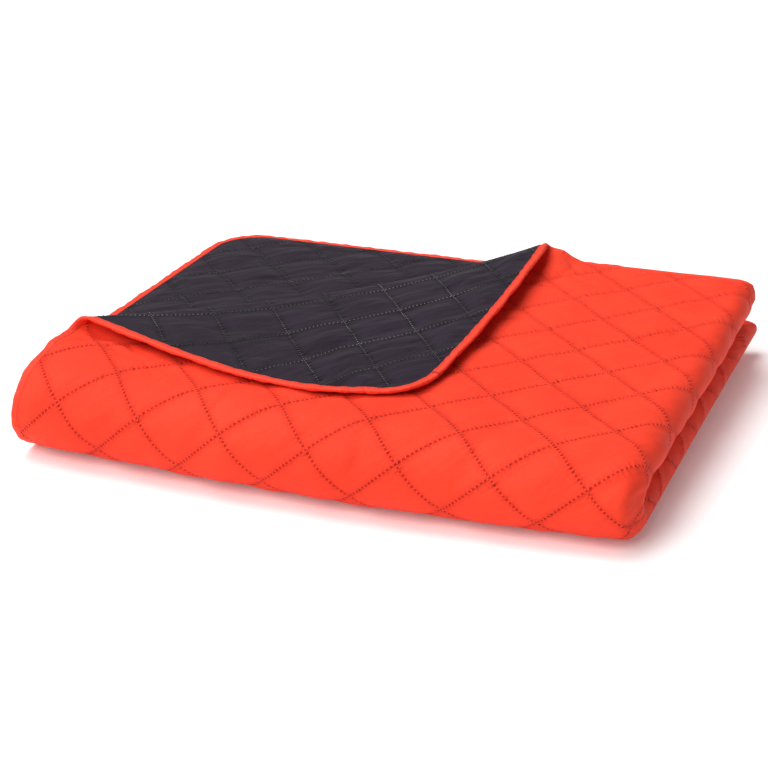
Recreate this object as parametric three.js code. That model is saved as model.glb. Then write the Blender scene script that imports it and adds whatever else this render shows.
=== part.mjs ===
// A quilted bedspread, folded four by four into a pile of sixteen layers, with the back left
// corner of its top layer turned over so that the plain reverse shows.
// Millimetres, +Z up, +X along the long front roll, the front towards -Y.
//
// The cloth is one sheet. U runs across it and V along it, each in whole numbers per stretch:
// a flat panel, a fold or a turn. sheetPoint(U, V, depth) places a point of the folded sheet,
// depth being the distance from the middle of the quilt towards its face.
import * as THREE from 'three';

// Cloth
const DIAMOND = 83.3;             // corner to corner of a quilted diamond
const PITCH = 5.5;                // from one layer of the pile to the next
const THICK = 3.5;                // the quilt away from its raised diamonds, face to reverse
const CLOTH_GAP = 0.35;           // between the face cloth and the reverse cloth
const FACE_PUFF = 3.0;            // rise of a diamond's middle on the face
const REVERSE_PUFF = 2.0;         // the same on the reverse
const CORNER = 45.8;              // radius of the sheet's rounded corners
const BINDING_WIDTH = 7.2;
const BINDING_SHOULDER = 0.72;    // share of the binding's width that is flat
const BINDING_GAP = 0.3;          // between the quilt's edge and its binding

// Pile, as x across from a crossing of the quilting and y back from the foremost bulge
const LEFT = -497.3;              // quilt's edge of the top layer
const RIGHT = 61.8;               // axis of the right folds
const SPLIT = -0.75 * DIAMOND;    // where the flap's panel ends
const FRONT = 46.6;               // axis of the front roll
const BACK = 476.6;               // back edge of the top layer
const SECOND_LEFT = -496.4;       // edges of the layer below it
const SECOND_BACK = 460.6;
const PLAN_BACK = 478;            // where the back corners' HEIGHT is taken
const BURIED_LEFT = LEFT + 14;    // fold and edge that lie inside the pile
const STAGGER = 1.6;              // how far each layer's back edge stands behind the one outside it
const ROLL_BULGE = 1.201;         // depth of the front roll to its height
const MIDDLE = 7.5 * PITCH + THICK / 2;   // height of the pile's middle
const KNOTS_X = [-420, -310, -190];       // breaks shared by every hidden panel
const QUILT_PHASE = 0.420;        // diamonds from the floor line to a crossing

// The pile's unevenness: height factors at its corners, leans and bows in millimetres
const HEIGHT = { frontLeft: 0.948, frontRight: 0.859, backLeft: 0.973, backRight: 1.054 };
const LEAN = { low: -29.2, high: -8.2 };
const WAIST = { out: 6.9, back: 33.6 };   // the lower half's bulge at the back right
const BOW = { left: 4.0, right: 10.6, middle: -7.0 };

// The turned corner: a line at 45 degrees from the left edge to the back edge
const HINGE = { x: -525.8, y: 64.2, length: 557.6, bow: -26.3 };
const CURL = { radius: 9.3, slope: -0.0078, backExtra: 3.9, smallest: 3 };
const LIFT = { angle: 0.593, ratio: 3.63 };
const LEANING = { near: 0.142, change: -0.188 };
const SPREAD = { scale: -0.105, swell: 0.228, drift: -0.094 };
const REST_HEIGHT = 7.4;          // middle of the flap above the middle of the layer it lies on
const LANDING = { softness: 4, over: 12 };   // how gently the leaning flap comes to lie flat

// Where the top layer is held up beside the two ends of the curl: x across, and y along the
// sheet from the top of the front roll. It comes down again past the curl.
const HELD_UP = [
  { x: -505, y: 30, wide: 85.5, long: 27.1, rise: 8.6 },
  { x: -130, y: 436, wide: 16.8, long: 40, rise: 7.4 },
];
const SETTLED = 50;

// Where the quilting flattens out: shares of a panel at its edges, millimetres at the hinge
const FADE = { edge: 1 / 12, roll: 1 / 2, fold: 1 / 3, beforeHinge: 20, afterHinge: 25, over: 30 };

const COLORS = { face: 0xff503a, reverse: 0x3e393e, binding: 0xf2442f };

const HALF_PITCH = PITCH / 2;
const clamp = THREE.MathUtils.clamp;
const mix = THREE.MathUtils.lerp;
const smooth = (t) => THREE.MathUtils.smoothstep(t, 0, 1);
const hump = (t) => Math.exp(-t * t);

// Inset of the side edge at a distance from the sheet's end, which rounds the corner.
function cornerInset(distance) {
  const short = Math.max(CORNER - Math.max(distance, 0), 0);
  return CORNER - Math.sqrt(CORNER * CORNER - short * short);
}

// Across the half pile: a spiral of four double layers joined by folds. offset is measured
// from the middle of the double layer, away from the core.
function across(u, offset, leftEdge) {
  const stretch = Math.min(Math.floor(u), 7);
  const f = u - stretch;
  const turn = (x, level, radius, start, sweep) => {
    const angle = start + sweep * f;
    return [x + radius * Math.cos(angle), level + radius * Math.sin(angle)];
  };
  const quarter = Math.PI / 2;
  switch (stretch) {
    case 0: return [mix(leftEdge, SPLIT, f), 7 * PITCH + offset];
    case 1: return [mix(SPLIT, RIGHT, f), 7 * PITCH + offset];
    case 2: return turn(RIGHT, 4 * PITCH, 3 * PITCH + offset, quarter, -Math.PI);
    case 3: return [mix(RIGHT, BURIED_LEFT, f), PITCH - offset];
    case 4: return turn(BURIED_LEFT, 2 * PITCH, PITCH + offset, -quarter, -Math.PI);
    case 5: return [mix(BURIED_LEFT, RIGHT, f), 3 * PITCH + offset];
    case 6: return turn(RIGHT, 4 * PITCH, PITCH - offset, -quarter, Math.PI);
    default: return [mix(RIGHT, BURIED_LEFT, f), 5 * PITCH - offset];
  }
}

// How high the pile stands and how it leans and bows, applied to every point alike.
function settle([x, y, z]) {
  const fx = (x - HINGE.x) / (RIGHT - HINGE.x);
  const fy = clamp((y - FRONT) / (PLAN_BACK - FRONT), -0.2, 1.3);
  const front = mix(HEIGHT.frontLeft, HEIGHT.frontRight, fx);
  const back = mix(HEIGHT.backLeft, HEIGHT.backRight, fx);
  const up = clamp(z / (2 * MIDDLE), 0, 1.2);
  const waist = up < 0.5 ? Math.sin(2 * Math.PI * up) : 0;
  const lean = mix(LEAN.low, LEAN.high, up) + WAIST.out * waist;
  const flare = WAIST.back * waist * (Math.max(fx, 0) * Math.max(fy, 0)) ** 4;
  const bow = BOW.left * clamp(1 - 2.2 * fx, 0, 1) ** 2
    + BOW.right * clamp(2.5 * fx - 1.5, 0, 1) ** 2
    + BOW.middle * Math.sin(Math.PI * clamp(fx, 0, 1)) ** 2;
  return new THREE.Vector3(
    x + lean * Math.max(fx, 0) * Math.max(fy, 0),
    y + bow * (1 - clamp(fy, 0, 1)) + flare,
    z * mix(front, back, fy),
  );
}

// Distance past the bowed hinge line, and distance along it.
function hingeCoordinates(x, y) {
  const along = ((x - HINGE.x) + (y - HINGE.y)) * Math.SQRT1_2;
  const f = clamp(along / HINGE.length, -0.05, 1.05);
  const bow = HINGE.bow * 4 * f * (1 - f);
  return { along, f, bow, past: ((y - HINGE.y) - (x - HINGE.x)) * Math.SQRT1_2 - bow };
}

// How much the top layer stands off the pile near the two ends of its curl.
function heldUp(x, y) {
  return HELD_UP.reduce((total, row) => {
    const share = hump((x - row.x) / row.wide) * hump((y - row.y) / row.long);
    return total + row.rise * share;
  }, 0);
}

// The top layer near its turned corner: flat, a slow lift, a tight curl, then a straight lean
// down until it lies on the layer it came from.
function turnedCorner(x, y, depth, raised) {
  const { along, f, bow, past } = hingeCoordinates(x, y);
  const top = MIDDLE + 7.5 * PITCH;
  if (past <= 0) return [x, y, top + raised + depth];
  const radius = Math.max(CURL.radius + CURL.slope * along + CURL.backExtra * f ** 4, CURL.smallest);
  const end = Math.PI + Math.atan(LEANING.near + LEANING.change * f);
  const liftRadius = LIFT.ratio * radius;
  const liftLength = liftRadius * LIFT.angle;
  const curlLength = radius * (end - LIFT.angle);
  const lift = Math.min(past, liftLength) / liftRadius;
  const angle = lift + clamp(past - liftLength, 0, curlLength) / radius;
  const rest = Math.max(past - liftLength - curlLength, 0);
  const spread = 1 + SPREAD.scale + SPREAD.swell * Math.sin(Math.PI * clamp(2 * f, 0, 1));
  let reach = liftRadius * Math.sin(lift) + radius * (Math.sin(angle) - Math.sin(lift));
  let height = liftRadius * (1 - Math.cos(lift)) + radius * (Math.cos(lift) - Math.cos(angle));
  if (rest > 0) {
    const leaning = height + rest * Math.sin(end);
    const gap = leaning - REST_HEIGHT;
    const landed = (leaning + REST_HEIGHT + Math.hypot(gap, LANDING.softness)) / 2;
    height = mix(leaning, landed, Math.min(rest / LANDING.over, 1));
    reach += rest * Math.cos(end) * spread;
  }
  reach += bow - depth * Math.sin(angle);
  const slid = along + SPREAD.drift * rest;
  return [
    HINGE.x + (slid - reach) * Math.SQRT1_2,
    HINGE.y + (slid + reach) * Math.SQRT1_2,
    top + height + raised * (1 - smooth(rest / SETTLED)) + depth * Math.cos(angle),
  ];
}

// A point of the folded sheet. Along V the outer sheet runs from its back edge over the top,
// round the front and under the pile, turns at the lower back, and returns as the inner sheet.
function sheetPoint(u, v, depth) {
  const stretch = Math.min(Math.floor(v), 6);
  const f = v - stretch;
  const turning = clamp(v - 3, 0, 1) * Math.PI;
  const side = Math.cos(turning);
  const leftEdge = mix(LEFT, SECOND_LEFT, clamp(v - 4, 0, 1));
  let [x, level] = across(u, side * (HALF_PITCH + depth), leftEdge);
  const middle = across(u, side * HALF_PITCH, leftEdge)[1];
  const stagger = STAGGER * (7.5 - middle / PITCH);
  const back = (stretch === 6 ? SECOND_BACK - STAGGER : BACK) + stagger;
  const roundCorner = (y) => {
    const inset = cornerInset(back - y);
    if (u >= 7) x += inset * clamp(1 - (x - BURIED_LEFT) / CORNER_REACH, 0, 1);
    if (u <= 1) x += inset * clamp(1 - (x - leftEdge) / CORNER_REACH, 0, 1);
    return [x, y, MIDDLE + level];
  };
  switch (stretch) {
    case 0: {
      const y = mix(back, FRONT, f);
      return settle(u <= 2 ? turnedCorner(x, y, depth, heldUp(x, y - FRONT)) : roundCorner(y));
    }
    case 1:
    case 5: {
      const angle = Math.PI * (stretch === 1 ? f : 1 - f);
      if (stretch === 1 && u <= 2) level += heldUp(x, -MIDDLE * angle);
      const y = FRONT - ROLL_BULGE * level * Math.sin(angle);
      return settle([x, y, MIDDLE + level * Math.cos(angle)]);
    }
    case 2: return settle([x, mix(FRONT, back, f), MIDDLE - level]);
    case 3: return settle([x, back + (HALF_PITCH + depth) * Math.sin(turning), MIDDLE - level]);
    case 4: return settle([x, mix(back, FRONT, f), MIDDLE - level]);
    default: return settle(roundCorner(mix(FRONT, back, f)));
  }
}

// Where each point lies on the quilting, in diamonds across and along.
function quiltCoordinates(u, v) {
  const roll = (Math.PI * MIDDLE) / DIAMOND;
  const fold = (Math.PI * (3.5 * PITCH + THICK / 2)) / DIAMOND;
  const x = u <= 1 ? mix(LEFT, SPLIT, u) : mix(SPLIT, RIGHT, Math.min(u - 1, 1));
  const quiltX = x / DIAMOND + fold * clamp(u - 2, 0, 1);
  if (v >= 6) return [quiltX, (mix(FRONT, SECOND_BACK, v - 6) - FRONT) / DIAMOND];
  const flat = (mix(BACK, FRONT, Math.min(v, 1)) - FRONT) / DIAMOND;
  return [quiltX, QUILT_PHASE + roll * (1 - clamp(v - 1, 0, 1)) + flat];
}

// Rise of the quilted diamonds: nothing on the two families of stitch lines, full between them.
function puff(u, v) {
  const [quiltX, quiltY] = quiltCoordinates(u, v);
  const one = Math.abs(Math.sin(Math.PI * (quiltX + quiltY)));
  const other = Math.abs(Math.sin(Math.PI * (quiltX - quiltY)));
  return Math.sqrt(one * other);
}

// The face swells where it shows: the top, the front roll and the right fold.
function faceDepth(u, v) {
  if (u >= 3 || v >= 2) return THICK / 2;
  const ends = smooth((2 - v) / FADE.roll) * smooth((3 - u) / FADE.fold);
  const edges = smooth(v / FADE.edge) * smooth(u / FADE.edge);
  const turned = v < 1 && u < 1;
  const under = turned ? smooth(-pastHinge(u, v) / FADE.beforeHinge) : 1;
  return THICK / 2 + FACE_PUFF * puff(u, v) * ends * edges * under;
}

// The reverse swells on the turned corner and on the layer that it uncovers.
function reverseDepth(u, v) {
  if (u > 1 || (v > 1 && v < 6)) return -THICK / 2;
  const uncovered = smooth((pastHinge(u, v) - FADE.afterHinge) / FADE.over);
  const edge = v < 1 ? v : 7 - v;
  const edges = smooth(edge / FADE.edge) * smooth(u / FADE.edge);
  return -THICK / 2 - REVERSE_PUFF * puff(u, v) * uncovered * edges;
}

// Distance past the hinge of a point of the top layer, or of the layer below it.
function pastHinge(u, v) {
  const y = v < 1 ? mix(BACK, FRONT, v) : mix(FRONT, SECOND_BACK, v - 6);
  return hingeCoordinates(mix(LEFT, SPLIT, u), y).past;
}

// Breaks along U and V. Each stretch has a coarse list, used inside the pile, and the ones
// that show have finer ones in step with the quilting.
function evenly(start, count) {
  return Array.from({ length: count + 1 }, (_, i) => start + i / count);
}

const LEAST_SHARE = 0.03;         // no break lies closer than this to its stretch's end

function quiltSteps(from, to, phase, step, start) {
  const length = to - from;
  const inner = [];
  const first = Math.ceil((Math.min(from, to) / DIAMOND - phase) / step);
  const last = Math.floor((Math.max(from, to) / DIAMOND - phase) / step);
  for (let k = first; k <= last; k += 1) {
    const f = ((k * step + phase) * DIAMOND - from) / length;
    if (f > LEAST_SHARE && f < 1 - LEAST_SHARE) inner.push(start + f);
  }
  return [start, ...inner.sort((a, b) => a - b), start + 1];
}

function knots(from, to, extra, start) {
  const inner = [...KNOTS_X, SPLIT, ...extra].map((x) => (x - from) / (to - from));
  const kept = inner.filter((f) => f > LEAST_SHARE && f < 1 - LEAST_SHARE).sort((a, b) => a - b);
  return [start, ...kept.map((f) => start + f), start + 1];
}

const ROLL_TOP = QUILT_PHASE + (Math.PI * MIDDLE) / DIAMOND;
const FLAT_PHASE = FRONT / DIAMOND - ROLL_TOP;
const CORNER_BREAKS = [0, 0.12, 0.45, 1].map((r) => r * CORNER);
const CORNER_REACH = 2.5 * CORNER;        // how far in the columns lean to round a corner
const BESIDE_CORNER = LEFT + CORNER_REACH;

const U_BREAKS = [
  {
    coarse: knots(LEFT, SPLIT, [BESIDE_CORNER], 0),
    half: quiltSteps(LEFT, SPLIT, 0, 0.5, 0),
    fine: quiltSteps(LEFT, SPLIT, 0, 0.25, 0),
  },
  { coarse: evenly(1, 2), fine: quiltSteps(SPLIT, RIGHT, 0, 0.25, 1) },
  { coarse: evenly(2, 6) },
  { coarse: knots(RIGHT, BURIED_LEFT, [], 3) },
  { coarse: evenly(4, 3) },
  { coarse: knots(BURIED_LEFT, RIGHT, [], 5) },
  { coarse: evenly(6, 3) },
  { coarse: knots(RIGHT, BURIED_LEFT, [BURIED_LEFT + CORNER_REACH], 7) },
];

function topBreaks(length, start, backwards) {
  const list = [...CORNER_BREAKS.map((e) => e / length), 0.4, 0.7, 1];
  return list.map((f) => (backwards ? start + 1 - f : start + f)).sort((a, b) => a - b);
}

const V_BREAKS = [
  {
    coarse: evenly(0, 3),
    corner: topBreaks(BACK - FRONT, 0, false),
    fine: quiltSteps(BACK, FRONT, FLAT_PHASE, 0.25, 0),
  },
  { coarse: quiltSteps(Math.PI * MIDDLE, 0, -QUILT_PHASE, 0.25, 1) },
  { coarse: evenly(2, 3) },
  { coarse: evenly(3, 3) },
  { coarse: evenly(4, 3) },
  { coarse: evenly(5, 5) },
  {
    coarse: evenly(6, 3),
    corner: topBreaks(SECOND_BACK - FRONT, 6, true),
  },
];
const ROUNDED_FROM = 7 - (1.05 * CORNER) / (SECOND_BACK - FRONT);
V_BREAKS[6].half = [
  ...quiltSteps(FRONT, SECOND_BACK, FRONT / DIAMOND, 0.5, 6).filter((v) => v < ROUNDED_FROM),
  ...V_BREAKS[6].corner.filter((v) => v >= ROUNDED_FROM),
];

// The turned corner's panel is meshed in lines along the hinge, so that its curl stays round.
// Each line is cut where it leaves the panel. CURL_STEPS are the curl's lines, past the hinge line.
const SIDE = DIAMOND * Math.SQRT1_2;
const CURL_STEPS = [45, 41, 37, 33.5, 30.5, 28, 25.5, 23, 20.5, 18, 14, 9.5, 5, 0, -14];
const LINE_SPACE = 8;             // least distance from those lines to the others
const STRAIGHT_BEFORE = 120;      // the lines lose the hinge's bow over this distance before it
const SCAN = { from: -80, step: 2, count: 400 };
const hingePast = (x, y) => ((y - HINGE.y) - (x - HINGE.x)) * Math.SQRT1_2;
const hingeAlong = (x, y) => ((x - HINGE.x) + (y - HINGE.y)) * Math.SQRT1_2;

function quiltLines(value, from, to) {
  const first = Math.ceil((from - value) / (SIDE / 2));
  const last = Math.floor((to - value) / (SIDE / 2));
  return Array.from({ length: last - first + 1 }, (_, i) => value + ((first + i) * SIDE) / 2);
}

function linePoint(past, along) {
  const f = clamp(along / HINGE.length, -0.05, 1.05);
  const bow = HINGE.bow * 4 * f * (1 - f) * smooth(1 + past / STRAIGHT_BEFORE);
  const off = past + bow;
  return [HINGE.x + (along - off) * Math.SQRT1_2, HINGE.y + (along + off) * Math.SQRT1_2];
}

function insidePanel([x, y]) {
  return y <= BACK && y >= FRONT && x <= SPLIT && x >= LEFT + cornerInset(BACK - y);
}

function cutEnd(past, inner, outer) {
  let [a, b] = [inner, outer];
  for (let i = 0; i < 40; i += 1) {
    const middle = (a + b) / 2;
    if (insidePanel(linePoint(past, middle))) a = middle;
    else b = middle;
  }
  return a;
}

function panelLine(past, alongLattice) {
  const scan = Array.from({ length: SCAN.count }, (_, i) => SCAN.from + i * SCAN.step);
  const inner = scan.filter((along) => insidePanel(linePoint(past, along)));
  const start = cutEnd(past, inner[0], inner[0] - SCAN.step);
  const end = cutEnd(past, inner.at(-1), inner.at(-1) + SCAN.step);
  const middle = quiltLines(alongLattice, start + LINE_SPACE, end - LINE_SPACE);
  return [start, ...middle, end].map((along) => [...linePoint(past, along), along]);
}

const cloth = { points: new Map(), list: [] };

function vertex(u, v) {
  const key = `${Math.round(u * 1e5)},${Math.round(v * 1e5)}`;
  if (!cloth.points.has(key)) {
    cloth.points.set(key, cloth.list.length);
    cloth.list.push([u, v]);
  }
  return cloth.points.get(key);
}

function panelVertex(x, y) {
  const near = (value, edge) => (Math.abs(value - edge) < 0.02 ? edge : value);
  return vertex((near(x, SPLIT) - LEFT) / (SPLIT - LEFT), (near(y, FRONT) - BACK) / (FRONT - BACK));
}

// Triangles between two rows of vertices, each given as [id, position along the row].
function zip(first, second, triangles) {
  let i = 0;
  let j = 0;
  while (i < first.length - 1 || j < second.length - 1) {
    const a = i < first.length - 1 ? first[i + 1][1] : Infinity;
    const b = j < second.length - 1 ? second[j + 1][1] : Infinity;
    const next = a <= b ? first[i + 1][0] : second[j + 1][0];
    const triangle = [first[i][0], next, second[j][0]];
    if (new Set(triangle).size === 3) triangles.push(triangle);
    if (a <= b) i += 1;
    else j += 1;
  }
}

function meshTurnedPanel() {
  const lattice = (ROLL_TOP * DIAMOND - FRONT);
  const pastLattice = hingePast(0, -lattice);
  const alongLattice = hingeAlong(0, -lattice);
  const leftCorner = hingePast(LEFT, FRONT);
  const backCorner = hingePast(SPLIT, BACK);
  const tipInset = CORNER * (1 - Math.SQRT1_2);
  const tip = [LEFT + tipInset, BACK - tipInset];
  const pasts = [
    ...quiltLines(pastLattice, CURL_STEPS[0] + LINE_SPACE, hingePast(...tip) - LINE_SPACE).reverse(),
    ...CURL_STEPS,
    leftCorner,
    backCorner,
    ...quiltLines(pastLattice, hingePast(SPLIT, FRONT) + LINE_SPACE, backCorner - LINE_SPACE).reverse(),
  ];
  const triangles = [];
  let previous = [[panelVertex(...tip), 0]];
  const right = [[SPLIT, BACK]];
  const front = [[LEFT, FRONT]];
  for (const past of pasts) {
    const line = panelLine(past, alongLattice);
    if (past === leftCorner) line[0] = [LEFT, FRONT, line[0][2]];
    if (past === backCorner) line[line.length - 1] = [SPLIT, BACK, line.at(-1)[2]];
    if (past < leftCorner) front.push(line[0]);
    if (past < backCorner) right.push(line.at(-1));
    const row = line.map(([x, y, along]) => [panelVertex(x, y), along]);
    zip(previous, row, triangles);
    previous = row;
  }
  zip(previous, [[panelVertex(SPLIT, FRONT), 0]], triangles);
  const uOf = ([x]) => (x - LEFT) / (SPLIT - LEFT);
  const vOf = ([, y]) => (y - BACK) / (FRONT - BACK);
  return { triangles, front: [...front.map(uOf), 1], right: [...right.map(vOf), 1] };
}

const turnedPanel = meshTurnedPanel();

// Breaks on the border between two panels: the sparser of the two, or a list of their own at
// the sheet's edges, which the binding follows.
const sparser = (a, b) => (a.length <= b.length ? a : b);
const uBreaks = (column, level) => U_BREAKS[column][level] ?? U_BREAKS[column].coarse;
const vBreaks = (row, level) => V_BREAKS[row][level] ?? V_BREAKS[row].coarse;

function borderAlongV(edge, row, levelOf) {
  if (edge === 0) return vBreaks(row, 'half');
  if (edge === 8) return vBreaks(row, 'corner');
  if (edge === 1 && row === 0) return turnedPanel.right;
  return sparser(vBreaks(row, levelOf(edge - 1, row)), vBreaks(row, levelOf(edge, row)));
}

function borderAlongU(edge, column, levelOf) {
  if (edge === 0) return column === 1 ? U_BREAKS[1].fine : uBreaks(column, 'coarse');
  if (edge === 7) return uBreaks(column, 'half');
  if (edge === 1 && column === 0) return turnedPanel.front;
  return sparser(uBreaks(column, levelOf(column, edge - 1)), uBreaks(column, levelOf(column, edge)));
}

// Quads of a grid, each cut along the diagonal that lies on a stitch line.
function meshGrid(us, vs, triangles) {
  for (let j = 0; j < vs.length - 1; j += 1) {
    for (let i = 0; i < us.length - 1; i += 1) {
      const corners = [[us[i], vs[j]], [us[i + 1], vs[j]], [us[i + 1], vs[j + 1]], [us[i], vs[j + 1]]];
      const [a, b, c, d] = corners.map(([u, v]) => vertex(u, v));
      const rise = corners.map(([u, v]) => puff(u, v));
      if (rise[0] + rise[2] <= rise[1] + rise[3]) triangles.push([a, b, c], [a, c, d]);
      else triangles.push([a, b, d], [b, c, d]);
    }
  }
}

// Vertices round a rectangle of a panel, anticlockwise from its first corner, with their place
// from 0 to 4. A place is halfway between the share of the rectangle and that of the panel.
function around({ low, high, left, right }, [u0, u1], [v0, v1]) {
  const share = (value, from, to) => {
    const own = to > from ? (value - from) / (to - from) : 0.5;
    return (own + value - Math.floor(from)) / 2;
  };
  return [
    ...low.map((u) => [vertex(u, v0), share(u, u0, u1)]),
    ...right.map((v) => [vertex(u1, v), 1 + share(v, v0, v1)]),
    ...[...high].reverse().map((u) => [vertex(u, v1), 3 - share(u, u0, u1)]),
    ...[...left].reverse().map((v) => [vertex(u0, v), 4 - share(v, v0, v1)]),
  ];
}

// One panel: a grid, with a ring of triangles round it where a border has other breaks.
function meshPanel(column, row, levelOf, triangles) {
  const level = levelOf(column, row);
  const us = uBreaks(column, level);
  const vs = vBreaks(row, level);
  const low = borderAlongU(row, column, levelOf);
  const high = borderAlongU(row + 1, column, levelOf);
  const left = borderAlongV(column, row, levelOf);
  const right = borderAlongV(column + 1, row, levelOf);
  if (low === us && high === us && left === vs && right === vs) {
    meshGrid(us, vs, triangles);
    return;
  }
  const innerU = us.slice(1, -1);
  const innerV = vs.slice(1, -1);
  meshGrid(innerU, innerV, triangles);
  const outer = around({ low, high, left, right }, [column, column + 1], [row, row + 1]);
  const lists = { low: innerU, high: innerU, left: innerV, right: innerV };
  zip(outer, around(lists, [innerU[0], innerU.at(-1)], [innerV[0], innerV.at(-1)]), triangles);
}

function meshSheet(levelOf) {
  const triangles = [...turnedPanel.triangles];
  for (let row = 0; row < V_BREAKS.length; row += 1) {
    for (let column = 0; column < U_BREAKS.length; column += 1) {
      if (column > 0 || row > 0) meshPanel(column, row, levelOf, triangles);
    }
  }
  return triangles;
}

const atCorner = (column, row) => (column === 7 && (row === 0 || row === 6)) || (column === 0 && row === 6);
const plainLevel = (column, row) => (atCorner(column, row) ? 'corner' : 'coarse');
const faceLevel = (column, row) => (column <= 2 && row <= 1 ? 'fine' : plainLevel(column, row));
const reverseLevel = (column, row) => (column === 0 && row === 6 ? 'half' : plainLevel(column, row));

// Edges that belong to one triangle only, as a map from each vertex to the next round the rim.
function rimOf(triangles) {
  const edges = new Set(triangles.flatMap(([a, b, c]) => [`${a},${b}`, `${b},${c}`, `${c},${a}`]));
  const next = new Map();
  for (const edge of edges) {
    const [a, b] = edge.split(',');
    if (!edges.has(`${b},${a}`)) next.set(Number(a), Number(b));
  }
  return next;
}

// A cloth is closed by the strip round its rim, between its two surfaces.
function clothGeometry(upper, lower) {
  const positions = [];
  const put = (id, depthOf) => positions.push(...sheetPoint(...cloth.list[id], depthOf(...cloth.list[id])));
  for (const [a, b, c] of upper.triangles) [a, c, b].forEach((id) => put(id, upper.depthOf));
  for (const triangle of lower.triangles) triangle.forEach((id) => put(id, lower.depthOf));
  for (const [a, b] of rimOf(lower.triangles)) {
    [b, a].forEach((id) => put(id, lower.depthOf));
    put(a, upper.depthOf);
    put(b, lower.depthOf);
    [a, b].forEach((id) => put(id, upper.depthOf));
  }
  const geometry = new THREE.BufferGeometry();
  geometry.setAttribute('position', new THREE.Float32BufferAttribute(positions, 3));
  geometry.computeVertexNormals();
  return geometry;
}

const plainSheet = meshSheet(plainLevel);
const inside = CLOTH_GAP / 2;
const faceGeometry = clothGeometry(
  { triangles: meshSheet(faceLevel), depthOf: faceDepth },
  { triangles: plainSheet, depthOf: () => inside },
);
const reverseGeometry = clothGeometry(
  { triangles: plainSheet, depthOf: () => -inside },
  { triangles: meshSheet(reverseLevel), depthOf: reverseDepth },
);

// The binding runs once round the rim. Its section is given as distance out from the quilt's
// edge and height from the quilt's middle.
const BINDING_SECTION = [
  [BINDING_GAP, -THICK / 2],
  [BINDING_WIDTH * BINDING_SHOULDER, -THICK / 2],
  [BINDING_WIDTH, 0],
  [BINDING_WIDTH * BINDING_SHOULDER, THICK / 2],
  [BINDING_GAP, THICK / 2],
];

function bindingGeometry() {
  const next = rimOf(plainSheet);
  const start = next.keys().next().value;
  const loop = [start];
  for (let id = next.get(start); id !== start; id = next.get(id)) loop.push(id);
  const at = (i, depth) => sheetPoint(...cloth.list[loop[(i + loop.length) % loop.length]], depth);
  const rings = loop.map((_, i) => {
    const up = at(i, 1).sub(at(i, -1)).normalize();
    const before = at(i, 0).sub(at(i - 1, 0)).normalize();
    const after = at(i + 1, 0).sub(at(i, 0)).normalize();
    const tangent = before.add(after);
    const out = new THREE.Vector3().crossVectors(up, tangent).normalize();
    return BINDING_SECTION.map(([reach, height]) => at(i, height).addScaledVector(out, reach));
  });
  const positions = [];
  rings.forEach((ring, i) => {
    const following = rings[(i + 1) % rings.length];
    ring.forEach((corner, k) => {
      const m = (k + 1) % ring.length;
      positions.push(...corner, ...following[m], ...following[k]);
      positions.push(...corner, ...ring[m], ...following[m]);
    });
  });
  const geometry = new THREE.BufferGeometry();
  geometry.setAttribute('position', new THREE.Float32BufferAttribute(positions, 3));
  geometry.computeVertexNormals();
  return geometry;
}

function piece(name, geometry, color) {
  const material = new THREE.MeshStandardMaterial({ color, roughness: 0.85, metalness: 0 });
  const mesh = new THREE.Mesh(geometry, material);
  mesh.name = name;
  return mesh;
}

const group = new THREE.Group();
group.add(piece('face_cloth', faceGeometry, COLORS.face));
group.add(piece('reverse_cloth', reverseGeometry, COLORS.reverse));
group.add(piece('edge_binding', bindingGeometry(), COLORS.binding));

// The origin is the middle of the part's box, on the surface that it lies on.
const box = new THREE.Box3().setFromObject(group);
const middle = box.getCenter(new THREE.Vector3());
group.position.set(-middle.x, -middle.y, -box.min.z);
group.updateMatrixWorld(true);

export default group;
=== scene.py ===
import math

import bpy
import numpy as np
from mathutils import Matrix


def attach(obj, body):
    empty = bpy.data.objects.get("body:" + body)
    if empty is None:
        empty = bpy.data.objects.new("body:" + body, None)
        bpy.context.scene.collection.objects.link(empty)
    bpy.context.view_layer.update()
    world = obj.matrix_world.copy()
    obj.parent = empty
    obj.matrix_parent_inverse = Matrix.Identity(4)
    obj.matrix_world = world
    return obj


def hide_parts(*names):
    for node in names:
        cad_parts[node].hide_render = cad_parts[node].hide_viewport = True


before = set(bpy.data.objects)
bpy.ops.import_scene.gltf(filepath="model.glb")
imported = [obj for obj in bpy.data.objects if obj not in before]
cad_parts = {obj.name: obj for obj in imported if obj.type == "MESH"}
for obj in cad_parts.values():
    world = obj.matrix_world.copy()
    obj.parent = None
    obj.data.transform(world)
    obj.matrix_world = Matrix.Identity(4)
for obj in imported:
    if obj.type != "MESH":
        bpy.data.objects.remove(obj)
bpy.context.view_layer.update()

MM = 0.001
PLACE = np.array([210.160, -256.310, 0.0])    # from the plan's zero to the frame's

# Cloth
DIAMOND = 83.3                  # corner to corner of a quilted diamond
SIDE = DIAMOND / math.sqrt(2)
PITCH = 5.5                     # from one layer of the pile to the next
THICK = 3.5                     # the quilt along its stitch lines
SHEET = 0.9                     # each cloth
CORNER = 45.8                   # radius of the sheet's rounded corners
CORNER_REACH = 2.5 * CORNER     # a rounded corner draws the columns in over this
BINDING_WIDTH = 7.2
STITCHES_PER_SIDE = 14

# Pile, as x across from a crossing of the quilting and y back from the foremost bulge
LEFT, RIGHT = -497.3, 61.8
SPLIT = -0.75 * DIAMOND         # where u passes 1 on the top layers
FRONT, BACK = 46.6, 476.6
SECOND_LEFT, SECOND_BACK = -496.4, 460.6      # the layer that the turned corner uncovers
BURIED_LEFT = LEFT + 14         # the folds inside the pile
STAGGER = 1.6                   # each layer in from the outside reaches this much further back
MIDDLE = 7.5 * PITCH + THICK / 2              # height of the pile's middle
ROLL_BULGE = 1.201              # the front roll's depth over its radius

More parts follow.
